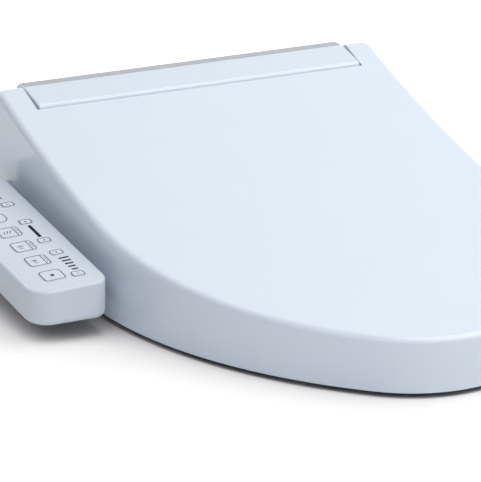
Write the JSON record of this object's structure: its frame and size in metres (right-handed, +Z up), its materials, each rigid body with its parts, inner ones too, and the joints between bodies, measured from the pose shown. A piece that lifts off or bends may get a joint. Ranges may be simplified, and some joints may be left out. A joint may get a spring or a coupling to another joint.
{
  "type": "electric bidet seat",
  "caption": "Electric bidet seat: moulded lid and heated ring on damped hinges, rear housing with sliding spray nozzle, and a side arm of push keys.",
  "frame": {"origin": "midway between the two fixing bolts, on the plane of the bowl's rim that the bracket, feet and bumpers stand on", "axes": "+Z up, -Y towards the nose of the seat, -X towards the control arm"},
  "size_m": [0.4804, 0.541, 0.1441],
  "materials": {
    "lid_abs": "moulded, glossy cool white",
    "seat_abs": "moulded, glossy cool white",
    "body_abs": "moulded, glossy cool white",
    "tray_abs": "moulded, satin white",
    "arm_abs": "moulded, fine-grained cool white",
    "key_abs": "moulded, fine-grained cool white",
    "bracket_abs": "moulded mid grey",
    "rubber": "soft grey rubber",
    "hose_rubber": "black hose",
    "dark_nylon": "black nylon",
    "grey_nylon": "grey nylon",
    "nozzle_abs": "smooth white",
    "tank_pp": "milky polypropylene",
    "steel": "zinc plated steel",
    "motor_steel": "pressed steel can",
    "brass": "machined brass",
    "heater_foil": "foil",
    "board": "green circuit board",
    "filter_carbon": "carbon block"
  },
  "bodies": {
    "housing": {"rear_cover": "body_abs", "base_tray": "tray_abs", "cover_screws": "steel", "base_feet": "rubber", "lid_damper": "dark_nylon", "seat_damper": "dark_nylon", "nozzle_cradle": "grey_nylon", "nozzle_motor": "motor_steel", "water_tank": "tank_pp", "tank_lid": "tank_pp", "tank_heater": "steel", "inlet_spigot": "brass", "inlet_valve": "grey_nylon", "diverter_valve": "grey_nylon", "supply_hose": "hose_rubber", "main_board": "board", "fan_housing": "dark_nylon", "arm_shell": "arm_abs", "arm_plate": "tray_abs", "arm_screws": "steel", "key_board": "board", "cord_gland": "hose_rubber"},
    "seat": {"seat_top": "seat_abs", "seat_base": "seat_abs", "seat_heater": "heater_foil", "seat_bumpers": "rubber", "seat_damper_shaft": "steel"},
    "lid": {"lid": "lid_abs", "lid_pads": "rubber", "lid_damper_shaft": "steel"},
    "nozzle": {"nozzle_tube": "nozzle_abs", "nozzle_head": "nozzle_abs"},
    "pinion": {"nozzle_pinion": "dark_nylon"},
    "fan": {"fan_rotor": "grey_nylon"},
    "filter": {"filter_cassette": "tray_abs", "filter_block": "filter_carbon"},
    "release": {"release_button": "arm_abs"},
    "bracket": {"mount_bracket": "bracket_abs"},
    "key_stop": {"key_stop": "key_abs"},
    "key_rear_wash": {"key_rear_wash": "key_abs"},
    "key_front_wash": {"key_front_wash": "key_abs"},
    "key_dryer": {"key_dryer": "key_abs"},
    "key_power": {"key_power": "key_abs"},
    "key_pressure_down": {"key_pressure_down": "key_abs"},
    "key_pressure_up": {"key_pressure_up": "key_abs"},
    "key_position_front": {"key_position_front": "key_abs"},
    "key_position_rear": {"key_position_rear": "key_abs"},
    "key_heat_down": {"key_heat_down": "key_abs"},
    "key_heat_up": {"key_heat_up": "key_abs"}
  },
  "joints": [
    {"name": "seat_hinge", "type": "hinge", "parent": "housing", "child": "seat", "pos_m": [0, 0.03, 0.124], "axis": [-1, 0, 0], "range_deg": [0, 95]},
    {"name": "lid_hinge", "type": "hinge", "parent": "seat", "child": "lid", "pos_m": [0, 0.03, 0.124], "axis": [1, 0, 0], "range_deg": [-105, 0]},
    {"name": "nozzle_slide", "type": "slide", "parent": "housing", "child": "nozzle", "axis": [0, -0.9397, -0.342], "range_m": [0, 0.09]},
    {"name": "pinion_spin", "type": "hinge", "parent": "housing", "child": "pinion", "pos_m": [0, -0.12482, 0.04867], "axis": [-1, 0, 0], "range_deg": [0, 860]},
    {"name": "fan_spin", "type": "hinge", "parent": "housing", "child": "fan", "pos_m": [0.082, -0.083, 0.015], "axis": [0, 0, 1], "continuous": true},
    {"name": "filter_pull", "type": "slide", "parent": "housing", "child": "filter", "axis": [1, 0, 0], "range_m": [0, 0.06]},
    {"name": "release_press", "type": "slide", "parent": "housing", "child": "release", "axis": [1, 0, 0], "range_m": [-0.004, 0], "stiffness_N_per_m": 400},
    {"name": "bracket_slide", "type": "slide", "parent": "housing", "child": "bracket", "axis": [0, 1, 0], "range_m": [0, 0.06]},
    {"name": "press_stop", "type": "slide", "parent": "housing", "child": "key_stop", "axis": [-0.0502, -0.1165, 0.9919], "range_m": [-0.0008, 0], "stiffness_N_per_m": 300},
    {"name": "press_rear_wash", "type": "slide", "parent": "housing", "child": "key_rear_wash", "axis": [-0.0502, -0.1165, 0.9919], "range_m": [-0.0008, 0], "stiffness_N_per_m": 300},
    {"name": "press_front_wash", "type": "slide", "parent": "housing", "child": "key_front_wash", "axis": [-0.0502, -0.1165, 0.9919], "range_m": [-0.0008, 0], "stiffness_N_per_m": 300},
    {"name": "press_dryer", "type": "slide", "parent": "housing", "child": "key_dryer", "axis": [-0.0502, -0.1165, 0.9919], "range_m": [-0.0008, 0], "stiffness_N_per_m": 300},
    {"name": "press_power", "type": "slide", "parent": "housing", "child": "key_power", "axis": [-0.0502, -0.1165, 0.9919], "range_m": [-0.0008, 0], "stiffness_N_per_m": 300},
    {"name": "press_pressure_down", "type": "slide", "parent": "housing", "child": "key_pressure_down", "axis": [-0.0502, -0.1165, 0.9919], "range_m": [-0.0008, 0], "stiffness_N_per_m": 300},
    {"name": "press_pressure_up", "type": "slide", "parent": "housing", "child": "key_pressure_up", "axis": [-0.0502, -0.1165, 0.9919], "range_m": [-0.0008, 0], "stiffness_N_per_m": 300},
    {"name": "press_position_front", "type": "slide", "parent": "housing", "child": "key_position_front", "axis": [-0.0502, -0.1165, 0.9919], "range_m": [-0.0008, 0], "stiffness_N_per_m": 300},
    {"name": "press_position_rear", "type": "slide", "parent": "housing", "child": "key_position_rear", "axis": [-0.0502, -0.1165, 0.9919], "range_m": [-0.0008, 0], "stiffness_N_per_m": 300},
    {"name": "press_heat_down", "type": "slide", "parent": "housing", "child": "key_heat_down", "axis": [-0.0502, -0.1165, 0.9919], "range_m": [-0.0008, 0], "stiffness_N_per_m": 300},
    {"name": "press_heat_up", "type": "slide", "parent": "housing", "child": "key_heat_up", "axis": [-0.0502, -0.1165, 0.9919], "range_m": [-0.0008, 0], "stiffness_N_per_m": 300}
  ],
  "couplings": [
    {"joint": "pinion_spin", "follows": "nozzle_slide", "rad_per_m": 166.67}
  ]
}
